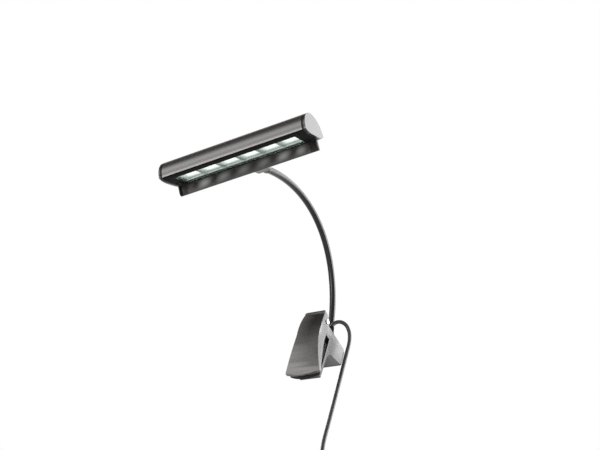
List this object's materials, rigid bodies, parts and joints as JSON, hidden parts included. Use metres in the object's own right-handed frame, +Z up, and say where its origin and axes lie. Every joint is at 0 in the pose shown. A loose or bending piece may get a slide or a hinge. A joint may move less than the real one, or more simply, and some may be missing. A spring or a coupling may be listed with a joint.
{
  "type": "clip-on reading lamp",
  "caption": "Bar-shaped LED reading lamp head with a glare baffle on a flexible gooseneck, standing on a spring clip for a desk edge, with a thin lead and plug.",
  "frame": {"origin": "middle of the front pad's gripping face", "axes": "+X along the gripped edge, +Y through the board to its rear side, +Z up"},
  "size_m": [0.1387, 0.245, 0.2954],
  "materials": {
    "head_paint": "satin",
    "clip_paint": "satin",
    "cap_black": "satin",
    "moulded_black": "matte",
    "window": "clear, slightly frosted",
    "reflector_white": "satin",
    "circuit_board": "lacquered",
    "led_chip": "gloss",
    "neck_metal": "semi-gloss",
    "steel": "zinc plated",
    "rubber_black": "matte",
    "lead_sheath": "satin",
    "plug_metal": "nickel plated"
  },
  "bodies": {
    "clip_base": {"base_block": "clip_paint", "rear_cover": "clip_paint", "cover_screw_1": "steel", "cover_screw_2": "steel", "rear_pad": "rubber_black", "hinge_pin": "steel", "spring_coil": "steel", "wire_board": "circuit_board", "neck_ferrule_lower": "neck_metal", "neck_nut": "steel", "cord_gland": "rubber_black", "cord_run": "lead_sheath", "cord_coil": "lead_sheath", "cord_tie": "rubber_black", "cord_tail": "lead_sheath", "plug_grip": "rubber_black", "plug_barrel": "plug_metal"},
    "front_jaw": {"front_jaw": "clip_paint", "front_pad": "rubber_black", "spring_leg": "steel"},
    "neck_1": {"neck_link_1": "neck_metal"},
    "neck_2": {"neck_link_2": "neck_metal"},
    "neck_3": {"neck_link_3": "neck_metal"},
    "neck_4": {"neck_link_4": "neck_metal"},
    "neck_5": {"neck_link_5": "neck_metal"},
    "neck_6": {"neck_link_6": "neck_metal"},
    "neck_7": {"neck_link_7": "neck_metal"},
    "neck_8": {"neck_link_8": "neck_metal"},
    "head": {"shade_shell": "head_paint", "end_cap_right": "cap_black", "end_cap_left": "cap_black", "led_tray": "moulded_black", "light_window": "window", "reflector": "reflector_white", "led_board": "circuit_board", "led_1": "led_chip", "led_2": "led_chip", "led_3": "led_chip", "led_4": "led_chip", "led_5": "led_chip", "led_6": "led_chip", "switch_body": "moulded_black", "glare_baffle": "head_paint", "neck_boss": "head_paint", "baffle_screw_1": "steel", "baffle_screw_2": "steel", "baffle_screw_3": "steel", "neck_ferrule_upper": "neck_metal"},
    "switch": {"switch_knob": "moulded_black"}
  },
  "joints": [
    {"name": "jaw_open", "type": "hinge", "parent": "clip_base", "child": "front_jaw", "pos_m": [0, -0.0065, 0.037], "axis": [-1, 0, 0], "range_deg": [0, 22], "stiffness_Nm_per_rad": 0.9, "springref_deg": -11.46},
    {"name": "neck_sway", "type": "hinge", "parent": "clip_base", "child": "neck_1", "pos_m": [0, 0.018, 0.046], "axis": [-0.1436, 0.9633, 0.2266], "range_deg": [-20, 20]},
    {"name": "neck_bend_lower", "type": "hinge", "parent": "neck_1", "child": "neck_2", "pos_m": [0.00045, 0.00961, 0.07384], "axis": [0.9898, 0.1392, 0.0295], "range_deg": [-18.18, 5.54]},
    {"name": "neck_bend", "type": "hinge", "parent": "neck_2", "child": "neck_3", "pos_m": [0.00198, -0.00702, 0.09755], "axis": [0.9907, 0.1321, 0.0332], "range_deg": [-23, 7]},
    {"name": "neck_bend_middle", "type": "hinge", "parent": "neck_3", "child": "neck_4", "pos_m": [0.00464, -0.03154, 0.11271], "axis": [0.9919, 0.1231, 0.0309], "range_deg": [-22.32, 6.8]},
    {"name": "neck_bend_crown", "type": "hinge", "parent": "neck_4", "child": "neck_5", "pos_m": [0.00795, -0.06002, 0.11719], "axis": [0.9927, 0.1182, 0.024], "range_deg": [-17.49, 5.33]},
    {"name": "neck_bend_upper", "type": "hinge", "parent": "neck_5", "child": "neck_6", "pos_m": [0.01142, -0.08856, 0.11278], "axis": [0.9929, 0.1178, 0.0174], "range_deg": [-12.66, 3.86]},
    {"name": "neck_sway_upper", "type": "hinge", "parent": "neck_6", "child": "neck_7", "pos_m": [0.01479, -0.11545, 0.10213], "axis": [0.0413, -0.4396, 0.8973], "range_deg": [-20, 20]},
    {"name": "neck_bend_end", "type": "hinge", "parent": "neck_7", "child": "neck_8", "pos_m": [0.01798, -0.14025, 0.08715], "axis": [0.9925, 0.1216, 0.0098], "range_deg": [-7.37, 2.25]},
    {"name": "head_aim", "type": "hinge", "parent": "neck_8", "child": "head", "pos_m": [0.02094, -0.16295, 0.06909], "axis": [0.991, 0.1326, 0.0161], "range_deg": [-30, 30]},
    {"name": "switch_slide", "type": "slide", "parent": "head", "child": "switch", "axis": [-0.1222, 0.7411, 0.6602], "range_m": [-0.0018, 0.0018]}
  ],
  "couplings": [
    {"joint": "neck_sway_upper", "follows": "neck_sway", "ratio": 1},
    {"joint": "neck_bend_lower", "follows": "neck_bend", "ratio": 0.79},
    {"joint": "neck_bend_middle", "follows": "neck_bend", "ratio": 0.97},
    {"joint": "neck_bend_crown", "follows": "neck_bend", "ratio": 0.76},
    {"joint": "neck_bend_upper", "follows": "neck_bend", "ratio": 0.55},
    {"joint": "neck_bend_end", "follows": "neck_bend", "ratio": 0.32}
  ]
}
